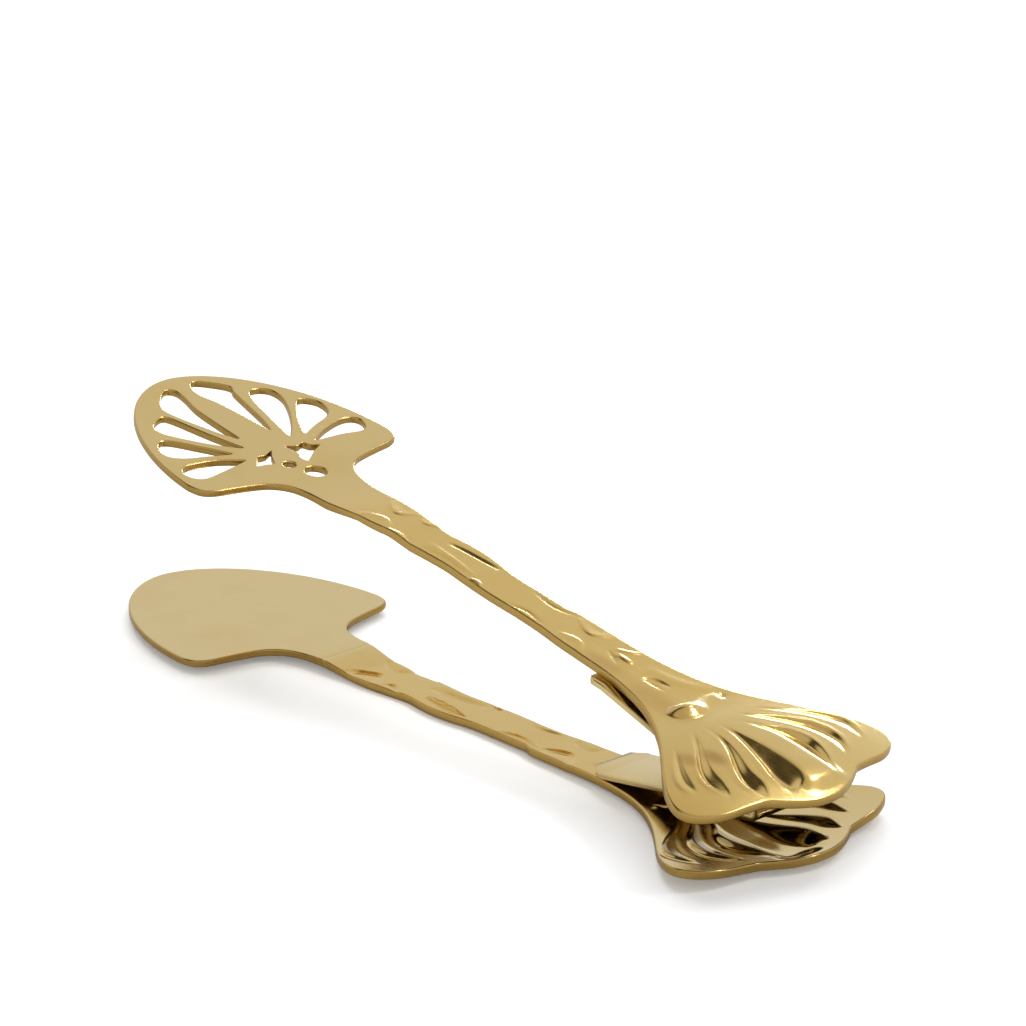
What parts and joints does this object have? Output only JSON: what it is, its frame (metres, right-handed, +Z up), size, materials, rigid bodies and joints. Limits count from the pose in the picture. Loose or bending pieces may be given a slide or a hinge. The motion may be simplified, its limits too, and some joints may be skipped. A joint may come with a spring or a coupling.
{
  "type": "ice tongs",
  "caption": "Sprung brass ice tongs: flat blades, one of them pierced, embossed handles and domed fan grips joined by a bent strip.",
  "frame": {"origin": "middle of the base, on the surface that the tongs lie on", "axes": "+X from the blades to the grips, +Y across, +Z up from the lower arm to the upper arm"},
  "size_m": [0.176, 0.0476, 0.0427],
  "materials": {
    "polished_brass": "satin polished",
    "spring_brass": "rolled, bright"
  },
  "bodies": {
    "lower": {"lower_arm": "polished_brass", "spring_lower_leg": "spring_brass", "spring_bend": "spring_brass"},
    "upper": {"upper_arm": "polished_brass", "spring_upper_leg": "spring_brass"}
  },
  "joints": [
    {"name": "spring_flex", "type": "hinge", "parent": "lower", "child": "upper", "pos_m": [0.0755, 0, 0.00834], "axis": [0, -1, 0], "range_deg": [0, 13.5], "stiffness_Nm_per_rad": 1.7, "springref_deg": -2.29, "deforming": ["spring_bend"]}
  ]
}
